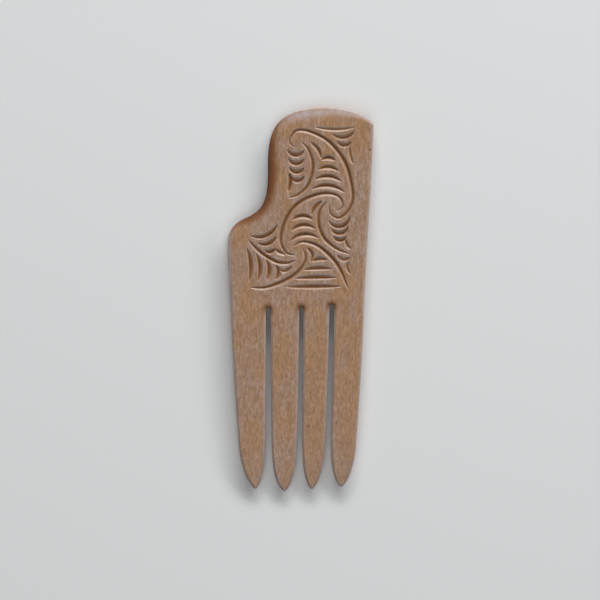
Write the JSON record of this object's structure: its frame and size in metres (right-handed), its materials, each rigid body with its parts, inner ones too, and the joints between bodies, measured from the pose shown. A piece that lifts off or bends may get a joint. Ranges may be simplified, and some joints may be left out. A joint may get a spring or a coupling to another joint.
{
  "type": "decorative hair comb",
  "caption": "Flat carved bone hair comb: a tall head with a rounded crest, a swept neck and cut scroll ornament, above long pointed teeth.",
  "frame": {"origin": "on the surface that the comb lies on, under the middle of the comb's bounding box", "axes": "+Z out of the carved face, +Y from the tooth tips to the crest, +X to the right seen from the front"},
  "size_m": [0.0454, 0.1202, 0.005],
  "materials": {
    "bone": "satin"
  },
  "bodies": {
    "root": {"carved_head": "bone", "tooth_1": "bone", "tooth_2": "bone", "tooth_3": "bone", "tooth_4": "bone"}
  },
  "joints": []
}
